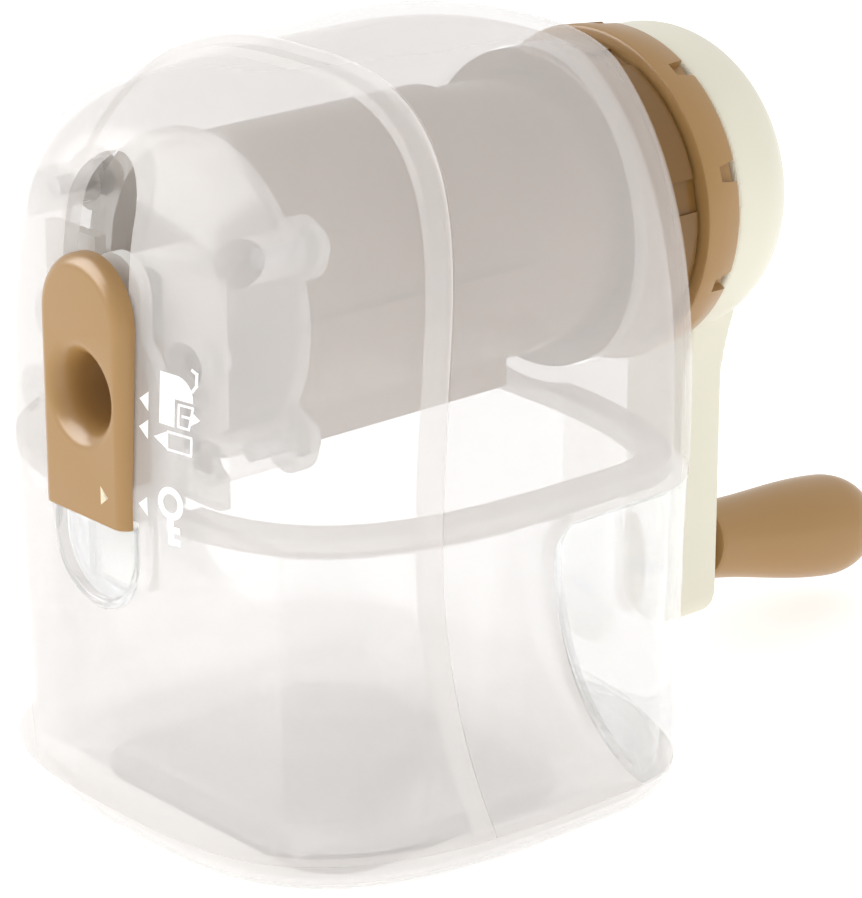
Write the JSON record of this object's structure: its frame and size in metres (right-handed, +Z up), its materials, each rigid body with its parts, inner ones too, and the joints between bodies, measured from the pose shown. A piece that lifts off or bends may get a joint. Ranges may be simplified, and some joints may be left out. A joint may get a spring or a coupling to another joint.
{
  "type": "pencil sharpener",
  "caption": "Hand-crank desk pencil sharpener with a rounded frosted casing, a clear shavings drawer, a sliding pencil mouth and a canted crank knob.",
  "frame": {"origin": "middle of the non-slip pad's underside, on the table", "axes": "+Z up, -Y towards the pencil mouth, +Y towards the crank, X = 0 is the mid plane of the casing"},
  "size_m": [0.076, 0.1284, 0.0909],
  "materials": {
    "frosted_plastic": "frosted translucent, softly glossy",
    "clear_plastic": "clear, polished",
    "smoke_plastic": "smoky brown, translucent",
    "tan_plastic": "satin",
    "cream_plastic": "satin",
    "white_plastic": "plain",
    "dark_plastic": "plain",
    "cutter_steel": "ground",
    "bright_steel": "bright drawn",
    "pad_rubber": "matt"
  },
  "bodies": {
    "casing": {"front_shell": "frosted_plastic", "rear_shell": "frosted_plastic", "base_tray": "frosted_plastic", "non_slip_pad": "pad_rubber", "bay_frame": "frosted_plastic", "slot_liner": "clear_plastic", "slider_guide": "frosted_plastic", "guide_screws": "bright_steel", "detent_spring": "bright_steel", "mount_plate": "smoke_plastic", "mount_screws": "bright_steel", "pencil_guide": "white_plastic", "cutter_housing": "smoke_plastic", "ring_gear": "dark_plastic", "rear_collar": "smoke_plastic", "hub_bush": "white_plastic"},
    "slider": {"pencil_slider": "tan_plastic", "slider_carrier": "white_plastic"},
    "drawer": {"drawer": "clear_plastic"},
    "lock_ring": {"lock_ring": "tan_plastic"},
    "crank": {"cutter_carrier": "dark_plastic", "cutter_axle": "bright_steel", "drive_shaft": "bright_steel", "shaft_clip": "bright_steel", "crank_arm": "cream_plastic", "knob_axle": "bright_steel"},
    "knob": {"knob": "tan_plastic"},
    "cutter": {"helical_cutter": "cutter_steel", "cutter_pinion": "dark_plastic"}
  },
  "joints": [
    {"name": "crank_spin", "type": "hinge", "parent": "casing", "child": "crank", "pos_m": [0, 0.034, 0.065], "axis": [0, 1, 0], "continuous": true},
    {"name": "cutter_spin", "type": "hinge", "parent": "crank", "child": "cutter", "pos_m": [0, 0.004, 0.0573], "axis": [0, 0.988, 0.1546], "continuous": true},
    {"name": "knob_spin", "type": "hinge", "parent": "crank", "child": "knob", "pos_m": [0, 0.0605, 0.0145], "axis": [0, 0.9877, -0.1564], "continuous": true},
    {"name": "slider_slide", "type": "slide", "parent": "casing", "child": "slider", "axis": [0, 0, 1], "range_m": [0, 0.0113]},
    {"name": "drawer_slide", "type": "slide", "parent": "casing", "child": "drawer", "axis": [0, 1, 0], "range_m": [0, 0.018]},
    {"name": "lock_ring_twist", "type": "hinge", "parent": "casing", "child": "lock_ring", "pos_m": [0, 0.0445, 0.065], "axis": [0, 1, 0], "range_deg": [0, 25]}
  ],
  "couplings": [
    {"joint": "cutter_spin", "follows": "crank_spin", "ratio": -2.4}
  ]
}
